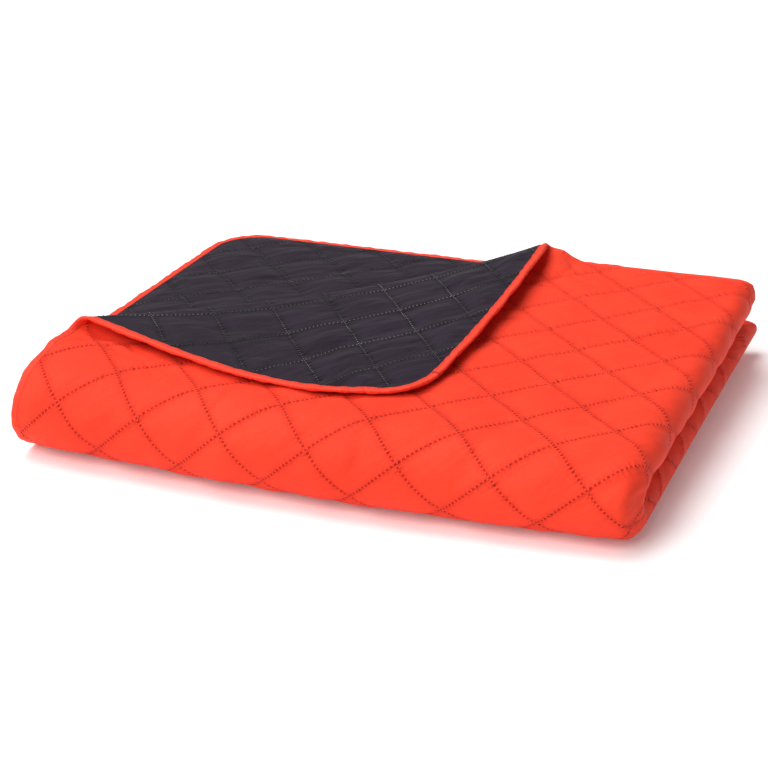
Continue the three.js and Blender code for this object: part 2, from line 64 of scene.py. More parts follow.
# How the pile has settled: its heights as shares of an even pile's, how far its back right end
# is set in, and how far its front is set back, with the rate at which that falls off
PLAN_BACK = 478.0
BEYOND = dict(front=-0.2, back=1.3, top=1.2)  # how far past the plan these carry on
HEIGHT = dict(front_left=0.948, front_right=0.859, back_left=0.973, back_right=1.054)
LEAN = dict(low=-29.2, high=-8.2)
BOW = dict(left=4.0, left_fall=2.2, right=10.6, right_fall=2.5, middle=-7.0)
WAIST = dict(out=6.9, back=33.6)              # the lower half's bulge at the back right

# The turned corner, from its hinge line onwards
HINGE = dict(x=-525.8, y=64.2, length=557.6, bow=-26.3, over=0.05)
LIFT = dict(angle=0.593, ratio=3.63)          # its radius is this many times the curl's
CURL = dict(radius=9.3, slope=-0.0078, back_extra=3.9, smallest=3.0)
LEANING = dict(near=0.142, change=-0.188)     # the slope down past the curl
SPREAD = dict(scale=-0.105, swell=0.228, drift=-0.094)
LANDING = dict(height=7.4, softness=4.0, over=12.0)
SETTLED = 50.0                  # past the curl a raised layer comes down over this

# The top layer stands off the pile beside the curl's left end and beside its back end
SHOULDER = dict(x=-505.0, y=30.0, wide=85.5, long=27.1, rise=8.6)
PEAK = dict(x=-130.0, y=436.0, wide=16.8, long=40.0, rise=7.4)

# Lengths of the sheet
TOP_LENGTH = BACK - FRONT
SECOND_LENGTH = SECOND_BACK - FRONT
ROLL_LENGTH = math.pi * MIDDLE                # round the front, on the face
FOLD_LENGTH = math.pi * (3.5 * PITCH + THICK / 2)            # round the right end, on the face
TURN_LENGTH = math.pi * PITCH / 2             # round a turn inside the pile
NO_END = 999.0                  # stands for the distance to the sheet's end where none is near

# Distance along the sheet from a crossing of the quilting
ROLL_FOOT = 0.420 * DIAMOND
ROLL_TOP = ROLL_FOOT + ROLL_LENGTH


def mix(a, b, t):
    """a at t = 0, b at t = 1, in a straight line between."""
    return a + (b - a) * t


def smooth(t):
    """0 below 0, 1 above 1, and an S curve between."""
    t = np.clip(t, 0, 1)
    return t * t * (3 - 2 * t)


def hump(t):
    """A bell curve: 1 at 0, a third at 1."""
    return np.exp(-t * t)


# The fold

def corner_inset(distance):
    """How far a round corner draws the side edge in, at a distance from the sheet's end."""
    short = np.clip(CORNER - np.maximum(distance, 0), 0, None)
    return CORNER - np.sqrt(CORNER**2 - short**2)


def across(u, offset, left_edge):
    """A spiral of four double layers joined by half circles, as x and level above its core."""
    stretch = np.clip(np.floor(u), 0, 7)
    f = u - stretch
    p = PITCH

    def turn(x, level, radius, start, sweep):
        angle = start + sweep * f
        return x + radius * np.cos(angle), level + radius * np.sin(angle)

    quarter = math.pi / 2
    kinds = [
        (mix(left_edge, SPLIT, f), 7 * p + offset),
        (mix(SPLIT, RIGHT, f), 7 * p + offset),
        turn(RIGHT, 4 * p, 3 * p + offset, quarter, -math.pi),
        (mix(RIGHT, BURIED_LEFT, f), p - offset),
        turn(BURIED_LEFT, 2 * p, p + offset, -quarter, -math.pi),
        (mix(BURIED_LEFT, RIGHT, f), 3 * p + offset),
        turn(RIGHT, 4 * p, p - offset, -quarter, math.pi),
        (mix(RIGHT, BURIED_LEFT, f), 5 * p - offset),
    ]
    where = [stretch == k for k in range(8)]
    x = np.select(where, [np.broadcast_to(a, f.shape) for a, _ in kinds])
    level = np.select(where, [np.broadcast_to(b, f.shape) for _, b in kinds])
    return x, level


def settle(x, y, z):
    """The pile's unevenness: heights blended between its corners, a lean, a front bowed by two
    falling parabolas and a squared sine, and a bulge of the lower half, a half sine high."""
    fx = (x - HINGE["x"]) / (RIGHT - HINGE["x"])
    fy = np.clip((y - FRONT) / (PLAN_BACK - FRONT), BEYOND["front"], BEYOND["back"])
    right, rear = np.maximum(fx, 0), np.maximum(fy, 0)
    front = mix(HEIGHT["front_left"], HEIGHT["front_right"], fx)
    back = mix(HEIGHT["back_left"], HEIGHT["back_right"], fx)
    up = np.clip(z / (2 * MIDDLE), 0, BEYOND["top"])
    waist = np.maximum(np.sin(2 * np.pi * up), 0) * (up < 0.5)
    lean = mix(LEAN["low"], LEAN["high"], up) + WAIST["out"] * waist
    bow = (BOW["left"] * np.clip(1 - BOW["left_fall"] * fx, 0, 1) ** 2
           + BOW["right"] * np.clip(1 - BOW["right_fall"] * (1 - fx), 0, 1) ** 2
           + BOW["middle"] * np.sin(np.pi * np.clip(fx, 0, 1)) ** 2)
    return np.stack([
        x + lean * right * rear,
        y + bow * (1 - np.clip(fy, 0, 1)) + WAIST["back"] * waist * (right * rear) ** 4,
        z * mix(front, back, fy),
    ], -1)


def hinge_place(x, y):
    """Distance along the bowed 45 degree hinge line, its share, its bow, and distance past it."""
    along = ((x - HINGE["x"]) + (y - HINGE["y"])) * math.sqrt(0.5)
    f = np.clip(along / HINGE["length"], -HINGE["over"], 1 + HINGE["over"])
    bow = HINGE["bow"] * 4 * f * (1 - f)
    past = ((y - HINGE["y"]) - (x - HINGE["x"])) * math.sqrt(0.5) - bow
    return along, f, bow, past


def held_up(x, y):
    """How far the top layer stands off the pile beside the curl's two ends, as two bell curves:
    x is across, and y along the sheet from the top of the front roll."""
    return sum(row["rise"] * hump((x - row["x"]) / row["wide"]) * hump((y - row["y"]) / row["long"])
               for row in (SHOULDER, PEAK))


def turned_corner(x, y, depth, raised):
    """The top layer past its hinge: a slow lift, a tight curl, then a straight lean down until
    it lies on the layer it came from. Before the hinge it is flat."""
    along, f, bow, past = hinge_place(x, y)
    top = MIDDLE + 7.5 * PITCH
    radius = np.maximum(CURL["radius"] + CURL["slope"] * along + CURL["back_extra"] * f**4,
                        CURL["smallest"])
    end = np.pi + np.arctan(LEANING["near"] + LEANING["change"] * f)
    lift_radius = LIFT["ratio"] * radius
    lift_length = lift_radius * LIFT["angle"]
    curl_length = radius * (end - LIFT["angle"])
    lift = np.clip(past, 0, lift_length) / lift_radius
    angle = lift + np.clip(past - lift_length, 0, curl_length) / radius
    rest = np.maximum(past - lift_length - curl_length, 0)
    spread = 1 + SPREAD["scale"] + SPREAD["swell"] * np.sin(np.pi * np.clip(2 * f, 0, 1))
    reach = lift_radius * np.sin(lift) + radius * (np.sin(angle) - np.sin(lift))
    height = lift_radius * (1 - np.cos(lift)) + radius * (np.cos(lift) - np.cos(angle))
    leaning = height + rest * np.sin(end)
    gap = leaning - LANDING["height"]
    landed = (leaning + LANDING["height"] + np.hypot(gap, LANDING["softness"])) / 2
    height = mix(leaning, landed, np.clip(rest / LANDING["over"], 0, 1))
    reach = reach + rest * np.cos(end) * spread + bow - depth * np.sin(angle)
    slid = along + SPREAD["drift"] * rest
    turned = np.stack([
        HINGE["x"] + (slid - reach) * math.sqrt(0.5),
        HINGE["y"] + (slid + reach) * math.sqrt(0.5),
        top + height + raised * (1 - smooth(rest / SETTLED)) + depth * np.cos(angle),
    ])
    flat = np.stack([x, y, top + raised + depth])
    return np.where(past > 0, turned, flat)


def folded(u, v, depth):
    """A point of the folded sheet. Along v the outer sheet runs from its back edge over the
    top, round the front and under the pile, turns at the lower back, and returns inside."""
    u, v, depth = np.broadcast_arrays(*(np.asarray(a, float) for a in (u, v, depth)))
    stretch = np.clip(np.floor(v), 0, 6)
    f = v - stretch
    turning = np.clip(v - 3, 0, 1) * np.pi
    side = np.cos(turning)
    left_edge = mix(LEFT, SECOND_LEFT, np.clip(v - 4, 0, 1))
    x, level = across(u, side * (PITCH / 2 + depth), left_edge)
    middle = across(u, side * PITCH / 2, left_edge)[1]
    stagger = STAGGER * (7.5 - middle / PITCH)
    back = np.where(stretch == 6, SECOND_BACK - STAGGER, BACK) + stagger
    y_out, y_in = mix(back, FRONT, f), mix(FRONT, back, f)
    y_end = np.where(stretch == 0, y_out, y_in)
    inset = np.where((stretch == 0) | (stretch == 6), corner_inset(back - y_end), 0)
    x = x + np.where(u >= 7, inset * np.clip(1 - (x - BURIED_LEFT) / CORNER_REACH, 0, 1), 0)
    x = x + np.where(u <= 1, inset * np.clip(1 - (x - left_edge) / CORNER_REACH, 0, 1), 0)
    roll = np.pi * np.where(stretch == 1, f, 1 - f)
    outermost = (u <= 2) & (v < 2)
    raised = np.where(outermost, held_up(x, np.where(stretch == 0, y_end - FRONT, -MIDDLE * roll)), 0)
    level = level + np.where(stretch == 1, raised, 0)
    y_roll = FRONT - ROLL_BULGE * level * np.sin(roll)
    y_turn = back + (PITCH / 2 + depth) * np.sin(turning)
    y = np.choose(stretch.astype(int), [y_out, y_roll, y_in, y_turn, y_out, y_roll, y_in])
    over, under, rolled = MIDDLE + level, MIDDLE - level, MIDDLE + level * np.cos(roll)
    z = np.choose(stretch.astype(int), [over, rolled, under, under, under, rolled, over])
    on_top = (stretch == 0) & (u <= 2)
    x, y, z = np.where(on_top, turned_corner(x, y, depth, raised), np.stack([x, y, z]))
    return settle(x, y, z)


def from_end(v):
    """Distance from the sheet's end, on the two panels that reach one."""
    return np.where(v < 1, v * TOP_LENGTH, np.where(v >= 6, (7 - v) * SECOND_LENGTH, NO_END))


def flat_place(u, v):
    """x and distance along the sheet, in millimetres, of a point before it was folded."""
    panel = RIGHT - BURIED_LEFT
    folds = np.cumsum([RIGHT, FOLD_LENGTH, panel, 3 * TURN_LENGTH, panel, TURN_LENGTH, panel])
    x = np.interp(u, np.arange(9), [LEFT, SPLIT, *folds])
    under = np.cumsum([ROLL_FOOT, -TOP_LENGTH, -TURN_LENGTH, -TOP_LENGTH, -ROLL_LENGTH])
    outer = np.interp(v, np.arange(7), [ROLL_TOP + TOP_LENGTH, ROLL_TOP, *under])
    along = np.where(v >= 6, (v - 6) * SECOND_LENGTH, outer)
    inset = corner_inset(from_end(v)) * np.clip(1 - (x - LEFT) / CORNER_REACH, 0, 1)
    return x + np.where(u <= 1, inset, 0), along


def past_hinge(u, v):
    """Distance past the hinge of a point of the top layer, or of the layer below it."""
    x, _ = flat_place(u, v)
    y = np.where(v < 1, mix(BACK, FRONT, v), mix(FRONT, SECOND_BACK, v - 6))
    return hinge_place(x, y)[3]


def rim_distance(u, v):
    """Distance in from the sheet's rim on the panels that show: from the nearer edge, and near
    a corner from its arc."""
    side, end = flat_place(u, v)[0] - LEFT, from_end(v)
    from_arc = CORNER - np.hypot(np.maximum(CORNER - side, 0), np.maximum(CORNER - end, 0))
    return np.where((side < CORNER) & (end < CORNER), from_arc, np.minimum(side, end))


# Relief of the cloths: the diamonds' rise, the weight of the creases and of the slow slack, and
# the power by which those two fade towards the stitch lines
FACE_RELIEF = dict(puff=3.4, crease=1.6, slack=1.3, hold=0.35)
REVERSE_RELIEF = dict(puff=3.6, crease=1.7, slack=1.3, hold=0.5)
RIM_FADE = 16.0                 # the diamonds flatten over this distance to the rim
VALLEY = 0.10                   # how round the bottom of a stitched valley is
FACE_FADE = dict(roll=0.35, fold=0.3)         # last shares of the front roll and of the right fold
PRESSED = dict(share=0.45, over=20.0)         # the turned corner's face, up to its hinge
BARED = dict(start=25.0, over=30.0, panel=0.05)              # the reverse puffs past the hinge


def quilting(u, v):
    """The two families of stitch lines: each is a whole number along its own lines."""
    x, along = flat_place(u, v)
    return (x + along) / DIAMOND, (x - along) / DIAMOND


def puff(u, v):
    """Rise of the quilted diamonds, 0 along the stitch lines and 1 in the middle."""
    one, other = (np.abs(np.sin(np.pi * q)) for q in quilting(u, v))
    rise = np.sqrt(np.hypot(one, VALLEY) * np.hypot(other, VALLEY))
    return np.clip((rise - VALLEY) / (1 - VALLEY), 0, 1)


# Creases, one by one: x and y of the middle, degrees from +X, length, width and depth. A
# negative depth is a ridge.
FACE_CREASES = [
    (-20, 250, 14, 130, 9, 0.9), (-70, 330, 24, 120, 8, 0.8), (10, 390, -8, 100, 7, 0.8),
    (-110, 400, 10, 90, 8, 1.0), (-40, 170, 12, 120, 10, 0.8), (-150, 110, 8, 110, 9, 0.7),
    (-250, 85, -5, 120, 9, 0.7), (-350, 70, 6, 100, 9, 0.8), (-430, 80, -12, 70, 7, 0.9),
    (30, 300, 70, 80, 7, 0.7), (35, 180, 80, 90, 8, 0.8), (-90, 230, -30, 80, 8, 0.6),
    (-20, 100, 30, 70, 8, 0.6), (-130, 300, 40, 70, 8, 0.7), (0, 440, 4, 120, 6, 0.7),
    (-480, 104, 38, 44, 5, -1.8), (-470, 96, 40, 50, 7, 1.8), (-452, 110, 4, 60, 8, 1.9),
    (-462, 118, 75, 26, 5, -1.8), (-430, 98, -14, 70, 8, 2.2), (-486, 78, 66, 40, 6, 1.8),
    (-104, 452, -40, 60, 6, 1.5), (-96, 430, -20, 60, 6, 1.3), (-114, 436, 80, 50, 6, 1.4),
    (-82, 456, 12, 50, 5, 1.1), (-98, 408, 30, 54, 7, 1.1), (-68, 436, 40, 44, 5, 0.9),
    (-300, 30, 80, 60, 10, 1.2), (-160, 20, 95, 70, 12, 1.2), (-60, 25, 84, 60, 10, 1.0),
]
REVERSE_CREASES = [
    (-400, 330, 42, 150, 7, 1.0), (-330, 390, 35, 160, 8, 1.0), (-440, 240, 55, 110, 7, 0.9),
    (-250, 420, 20, 130, 7, 0.9), (-380, 250, 45, 140, 8, 0.9), (-300, 300, 48, 190, 8, 0.8),
    (-200, 440, 10, 100, 6, 0.8), (-450, 380, 50, 90, 7, 1.0), (-470, 300, 80, 80, 6, 0.8),
    (-350, 440, 8, 110, 6, 0.9), (-230, 350, 40, 120, 8, 0.7), (-420, 430, 30, 60, 6, 0.8),
]


def creases(x, y, rows):
    """Sum of soft troughs, each a bell curve across and a longer one along its line, which
    wanders by two sines."""
    total = np.zeros_like(x)
    for cx, cy, degrees, length, width, depth in rows:
        c, s = math.cos(math.radians(degrees)), math.sin(math.radians(degrees))
        along, off = (x - cx) * c + (y - cy) * s, -(x - cx) * s + (y - cy) * c
        wander = 4 * np.sin(along / 21 + cx) + 2 * np.sin(along / 9 + cy)
        total -= depth * hump((off - wander) / (width / 2)) * hump(along / (length / 2))
    return total


def slack(x, y):
    """Slow unevenness of limp cloth: two products of long sines at odd angles."""
    return (0.9 * np.sin(x / 17 + 1.3 * np.sin(y / 37)) * np.sin(y / 23 + x / 61)
            + 0.6 * np.sin(x / 9.5 - y / 13.7 + 2) * np.sin(x / 41 + y / 29))


def plan_y(u, v):
    """Flat distance back from the front axis, for the creases' places."""
    return np.where(v < 6, flat_place(u, v)[1] - ROLL_TOP + FRONT, mix(FRONT, SECOND_BACK, v - 6))


# The front roll's right end: a ridge and a trough at places of the fold, over part of the roll
ROLL_END = [dict(fold=2.17, width=0.06, depth=-1.6), dict(fold=2.42, width=0.12, depth=2.6)]
ROLL_END_FROM, ROLL_END_WHOLE = 1.12, 1.32


def roll_end(u, v):
    """The edge where the front roll turns to its end, and the hollow beyond it."""
    inside = smooth((v - ROLL_END_FROM) / (ROLL_END_WHOLE - ROLL_END_FROM))
    return -inside * sum(row["depth"] * hump((u - row["fold"]) / row["width"]) for row in ROLL_END)


def relief(u, v, style, rows, flatter=1.0):
    """Diamonds, creases and slack. A power of the diamonds' rise brings the last two down to
    the stitch lines."""
    x, y, rise = flat_place(u, v)[0], plan_y(u, v), puff(u, v)
    limp = style["crease"] * creases(x, y, rows) + style["slack"] * slack(x, y) * flatter
    return style["puff"] * rise * flatter + limp * rise ** style["hold"]


def face_depth(u, v):
    """The face's height over the middle of the quilt. Its relief fades out under the front roll,
    round the right fold and at the rim, and is flatter on the turned corner."""
    shown = smooth((2 - v) / FACE_FADE["roll"]) * smooth((3 - u) / FACE_FADE["fold"])
    rim = smooth(rim_distance(u, v) / RIM_FADE)
    pressed = mix(PRESSED["share"], 1, smooth(-past_hinge(u, v) / PRESSED["over"]))
    flatter = np.where((v < 1) & (u < 1), pressed, 1)
    raised = relief(u, v, FACE_RELIEF, FACE_CREASES, flatter) + roll_end(u, v)
    return THICK / 2 + raised * shown * rim


def reverse_depth(u, v):
    """The reverse's height, down from the middle of the quilt. Only what the turned corner
    bares has relief, and the rest is plain."""
    panel = (u <= 1) & ((v < 1) | (v >= 6))
    past = smooth((past_hinge(u, v) - BARED["start"]) / BARED["over"])
    bare = past * smooth((1 - u) / BARED["panel"])
    rim = smooth(rim_distance(u, v) / RIM_FADE)
    raised = relief(u, v, REVERSE_RELIEF, REVERSE_CREASES)
    return -THICK / 2 - np.where(panel, raised * bare * rim, 0)


# Grid lines

FINE = DIAMOND / 24
ROUNDED = [0, 0.15, 0.6, 1.4, 2.4]            # rows close to the sheet's end, for its round corners
COVERED = [400, 200, 58, 26, 7, 0]            # the face's rows, back from the sheet's inner end


def steps(low, high):
    """Whole multiples of FINE between two lengths, clear of both by a twentieth of it."""
    return np.arange(math.ceil(low / FINE + 0.05), math.floor(high / FINE - 0.05) + 1) * FINE


def panel_lines(start, x_from, x_to):
    """Fine lines of a panel or fold, on multiples of FINE so that the stitch lines run
    through the grid's corners."""
    return np.concatenate([[start], start + (steps(x_from, x_to) - x_from) / (x_to - x_from)])


def top_rows():
    """Rows of the top layer and the front roll, v 0 to 2."""
    flat = steps(ROLL_TOP, ROLL_TOP + TOP_LENGTH - ROUNDED[-1] - 1)[::-1]
    roll = steps(ROLL_FOOT, ROLL_TOP)[::-1]
    return np.concatenate([
        np.array(ROUNDED) / TOP_LENGTH,
        1 - (flat - ROLL_TOP) / TOP_LENGTH,
        1 + (ROLL_TOP - roll) / ROLL_LENGTH,
    ])


def second_rows():
    """Rows of the uncovered layer, v 6 to 7."""
    inner = steps(0, SECOND_LENGTH - ROUNDED[-1] - 1) / SECOND_LENGTH
    return np.concatenate([[6], 6 + inner, 7 - np.array(ROUNDED[::-1]) / SECOND_LENGTH])


def coarse(start, *counts):
    """Even lines over the stretches from start on, so many to each."""
    return np.concatenate([
        np.linspace(k, k + 1, count, endpoint=False) for k, count in enumerate(counts, start)])


def face_columns():
    """Fine across the top layer and round the right fold, and coarse inside the pile."""
    return np.concatenate([
        panel_lines(0, LEFT, SPLIT),
        panel_lines(1, SPLIT, RIGHT),
        panel_lines(2, RIGHT, RIGHT + FOLD_LENGTH),
        coarse(3, 5, 5, 5, 5, 8), [8],
    ])


def reverse_columns():
    """Fine where the turned corner bares the reverse."""
    return np.concatenate([panel_lines(0, LEFT, SPLIT), coarse(1, 4, 8, 5, 5, 5, 5, 8), [8]])


def face_rows():
    """Fine on the top layer and the front roll."""
    return np.concatenate([
        top_rows(), coarse(2, 5, 5, 5, 6), [6], 7 - np.array(COVERED) / SECOND_LENGTH])


def reverse_rows():
    """Fine on the two top layers, whose reverse shows."""
    top = top_rows()
    return np.concatenate([top[top < 1], coarse(1, 8, 5, 5, 5, 6), second_rows()])


def binding_rows():
    """Fine wherever the binding shows."""
    return np.concatenate([top_rows(), coarse(2, 5, 8, 5, 8), second_rows()])


# Meshes

def mesh_piece(name, points, faces, uv=None):
    """A smooth mesh from (n, 3) points in millimetres and (m, k) corners, pressed flat where
    it lies on the floor."""
    points = np.column_stack([points[:, :2], np.maximum(points[:, 2], 0)])
    mesh = bpy.data.meshes.new(name)
    mesh.vertices.add(len(points))
    mesh.vertices.foreach_set("co", ((points + PLACE) * MM).astype(np.float32).ravel())
    mesh.loops.add(faces.size)
    mesh.loops.foreach_set("vertex_index", faces.astype(np.int32).ravel())
    mesh.polygons.add(len(faces))
    mesh.polygons.foreach_set("loop_start", np.arange(0, faces.size, faces.shape[1], dtype=np.int32))
    if uv is not None:
        layer = mesh.uv_layers.new(name="quilting")
        layer.data.foreach_set("uv", uv[faces.ravel()].astype(np.float32).ravel())
    mesh.polygons.foreach_set("use_smooth", np.ones(len(faces), bool))
    mesh.update(calc_edges=True)
    mesh.validate()
    piece = bpy.data.objects.new(name, mesh)
    bpy.context.scene.collection.objects.link(piece)
    return piece


def grid_quads(rows, columns):
    """Corners of a grid's quads, anticlockwise when rows run down and columns to the right."""
    at = np.arange(rows * columns).reshape(rows, columns)
    return np.stack([at[:-1, :-1], at[1:, :-1], at[1:, 1:], at[:-1, 1:]], -1).reshape(-1, 4)


def rim_loop(rows, columns):
    """Grid corners round the rim, once, in order."""
    at = np.arange(rows * columns).reshape(rows, columns)
    return np.concatenate([at[0, :-1], at[:-1, -1], at[-1, :0:-1], at[:0:-1, 0]])


def cloth(name, us, vs, depth_of, outward):
    """One cloth as a closed sheet: its relief outside, an even wall behind, and a strip round."""
    u, v = (a.ravel() for a in np.meshgrid(us, vs))
    depth = depth_of(u, v)
    outer = folded(u, v, depth)
    inner = folded(u, v, depth - outward * SHEET)
    quads = grid_quads(len(vs), len(us))
    count = len(u)
    loop = rim_loop(len(vs), len(us))
    after = np.roll(loop, -1)
    rim = np.stack([loop, after, after + count, loop + count], -1)
    if outward > 0:
        rim = rim[:, ::-1]
    else:
        quads = quads[:, ::-1]
    faces = np.concatenate([quads, quads[:, ::-1] + count, rim])
    uv = np.stack(quilting(u, v), -1)
    return mesh_piece(name, np.concatenate([outer, inner]), faces, np.concatenate([uv, uv]))


# Binding

BINDING = dict(inner=-0.8, half_height=2.2, roundness=3.2, sides=20)
GROOVE = dict(place=1.2, width=0.5, depth=0.8)
PUCKER = dict(tall=1.2, wide=1.1, sway=0.5, whole=3.0)       # sideways it grows up to this reach


def squared(wave):
    """A sine or cosine drawn out towards a square wave, as in a superellipse."""
    return np.sign(wave) * np.abs(wave) ** (2 / BINDING["roundness"])


def binding_section():
    """A flattened oval, as reach out from the sheet's rim and height, with a sewn groove."""
    angle = np.linspace(0, 2 * np.pi, BINDING["sides"], endpoint=False)
    half = (BINDING_WIDTH - BINDING["inner"]) / 2
    reach = BINDING["inner"] + half + half * squared(np.cos(angle))
    height = BINDING["half_height"] * squared(np.sin(angle))
    groove = GROOVE["depth"] * hump((reach - GROOVE["place"]) / GROOVE["width"])
    return reach, height - np.sign(height) * groove


def rim_frames(us, vs):
    """Corners of the sheet round its rim with the direction out of the sheet at each."""
    u, v = (a.ravel() for a in np.meshgrid(us, vs))
    loop = rim_loop(len(vs), len(us))
    u, v = u[loop], v[loop]
    middle = folded(u, v, 0)
    up = folded(u, v, 1) - folded(u, v, -1)
    tangent = np.roll(middle, -1, 0) - np.roll(middle, 1, 0)
    out = np.cross(up, tangent)
    out /= np.linalg.norm(out, axis=1, keepdims=True)
    length = np.concatenate([[0], np.cumsum(np.linalg.norm(np.diff(middle, axis=0), axis=1))])
    return u, v, out, length


def binding():
    """The tape: the section carried round the rim. Three short sines pucker it, and a longer
    one sways its outer edge."""
    u, v, out, length = rim_frames(reverse_columns(), binding_rows())
    reach, height = binding_section()
    pucker = (0.10 * np.sin(length / 2.3 + np.sin(length / 17)) + 0.08 * np.sin(length / 3.9 + 1)
              + 0.07 * np.sin(length / 8.3 + 2))[:, None]
    sway = PUCKER["sway"] * np.sin(length / 11 + np.sin(length / 29))[:, None]
    tall = height * (1 + PUCKER["tall"] * pucker)
    wide = reach + (PUCKER["wide"] * pucker + sway) * smooth(reach / PUCKER["whole"])
    points = folded(u[:, None], v[:, None], tall) + out[:, None] * wide[..., None]
    rings, sides = tall.shape
    at = np.arange(rings * sides).reshape(rings, sides)
    following, beside = np.roll(at, -1, 0), np.roll(at, -1, 1)
    faces = np.stack([at, beside, np.roll(following, -1, 1), following], -1).reshape(-1, 4)
    uv = np.stack(np.broadcast_arrays(length[:, None] / SIDE, reach[None] / BINDING_WIDTH), -1)
    return mesh_piece("bound_edge", points.reshape(-1, 3), faces, uv.reshape(-1, 2))


# Stitches

# Threads: half their length, half their width and their height
FACE_THREAD = (1.05, 0.42, 0.34)
REVERSE_THREAD = (0.95, 0.65, 0.6)
PROUD = dict(face=0.02, turned=0.05, second=-0.3)            # how far they stand out of the cloth
LINES_EACH_WAY = 14             # stitch lines either side of the crossing at zero
THREAD_INSET = 2.0              # no thread is closer to the rim, where the binding is sewn on
THREADS_FROM = 30.0             # on the reverse, threads begin this far past the hinge
CLEAR = dict(start=0.001, fold=0.01, end=0.02)               # of the stretches' ends, in u and v
OFF_SHEET = 60.0                # this far left of the rim u is -1


def spindles(name, centre, ahead, aside, normal, size):
    """Small threads, each an octahedron drawn out along its stitch line."""
    half, wide, tall = size
    corners = [centre - ahead * half, centre + ahead * half, centre - aside * wide,
               centre + aside * wide, centre + normal * tall, centre - normal * tall]
    points = np.stack(corners, 1)
    faces = np.array([[0, 2, 4], [2, 1, 4], [1, 3, 4], [3, 0, 4],
                      [2, 0, 5], [1, 2, 5], [3, 1, 5], [0, 3, 5]])
    every = (np.arange(len(centre))[:, None, None] * 6 + faces[None]).reshape(-1, 3)
    return mesh_piece(name, points.reshape(-1, 3), every)


def place_of_quilting(x, along, second):
    """u and v of a flat place on the panels that show: flat_place the other way round. A rounded
    corner draws columns in by a share that falls off over CORNER_REACH."""
    reach = corner_inset((SECOND_LENGTH if second else ROLL_TOP + TOP_LENGTH) - along)
    straight = (x - LEFT - reach) / (1 - reach / CORNER_REACH)
    x_line = np.where(x - LEFT < CORNER_REACH, LEFT + straight, x)
    u = np.interp(x_line, [LEFT - OFF_SHEET, LEFT, SPLIT, RIGHT, RIGHT + FOLD_LENGTH], [-1, 0, 1, 2, 3])
    if second:
        return u, 6 + along / SECOND_LENGTH
    return u, np.interp(-along, [-(ROLL_TOP + TOP_LENGTH), -ROLL_TOP, -ROLL_FOOT], [0, 1, 2])


def stitch_places(family):
    """Flat places of one family's stitches: lines a whole diamond side apart, and stitches
    evenly along them."""
    lines = np.arange(-LINES_EACH_WAY, LINES_EACH_WAY + 1)
    first, last = lines[0] * STITCHES_PER_SIDE, (lines[-1] + 1) * STITCHES_PER_SIDE
    beads = (np.arange(first, last) + 0.5) / STITCHES_PER_SIDE
    line, bead = (a.ravel() for a in np.meshgrid(lines, beads))
    a, b = (line, bead) if family == 0 else (bead, line)
    return (a + b) * DIAMOND / 2, (a - b) * DIAMOND / 2


def stitches(depth_of, outward, second, keep, size, proud):
    """Middle, direction, side and normal of both families' threads where keep says the cloth
    shows. The direction is from one end of a thread to the other on the folded sheet."""
    low_v, high_v = (6, 7) if second else (0, 2)
    families = []
    for family, turn in ((0, -1), (1, 1)):
        x, along = stitch_places(family)
        u, v = place_of_quilting(x, along, second)
        ok = (u > CLEAR["start"]) & (u < 3 - CLEAR["fold"])
        ok &= (v > low_v + CLEAR["start"]) & (v < high_v - CLEAR["end"])
        ok[ok] = keep(u[ok], v[ok])
        x, along, u, v = (q[ok] for q in (x, along, u, v))
        half = size[0] / math.sqrt(2)
        depth = depth_of(u, v) + outward * proud
        head = place_of_quilting(x + half, along + turn * half, second)
        tail = place_of_quilting(x - half, along - turn * half, second)
        ahead = folded(*head, depth) - folded(*tail, depth)
        ahead /= np.linalg.norm(ahead, axis=1, keepdims=True)
        normal = outward * (folded(u, v, depth + 0.5) - folded(u, v, depth - 0.5))
        normal /= np.linalg.norm(normal, axis=1, keepdims=True)
        families.append((folded(u, v, depth), ahead, np.cross(normal, ahead), normal))
    return [np.concatenate(part) for part in zip(*families)]


# Materials

VERMILION = (0.97, 0.074, 0.033, 1.0)
DEEP_VERMILION = (0.76, 0.024, 0.010, 1.0)
# STITCH_SHADOW is painted shade, for the needle holes on the face and for the binding's seam
STITCH_SHADOW = (0.50, 0.021, 0.010, 1.0)
CHARCOAL = (0.031, 0.019, 0.034, 1.0)
DEEP_CHARCOAL = (0.006, 0.003, 0.007, 1.0)
PALE_THREAD = (0.40, 0.38, 0.40, 1.0)
RED_THREAD = (0.95, 0.16, 0.10, 1.0)
WHITE = (1.0, 1.0, 1.0, 1.0)

# limp is the long folds' depth, lines the strength of the painted shade in the stitched valleys, and
# hole_fade how much the painted shade in the needle holes weakens for each metre back
FACE_FINISH = dict(colour=VERMILION, shade=DEEP_VERMILION, hole_shade_colour=STITCH_SHADOW, holes=0.70,
                   hole_fade=2.7, sheen=0.02, roughness=0.66, limp=0.0030, lines=0.42)
REVERSE_FINISH = dict(colour=CHARCOAL, shade=DEEP_CHARCOAL, hole_shade_colour=DEEP_CHARCOAL, holes=0.5,
                      hole_fade=0.0, sheen=0.10, roughness=0.62, limp=0.0050, lines=0.8)
TONE = dict(mottle=0.30, cloud=0.55, whole=0.9)              # how far the shade shows in the cloth
GRAIN_SWING = 0.14              # of the roughness
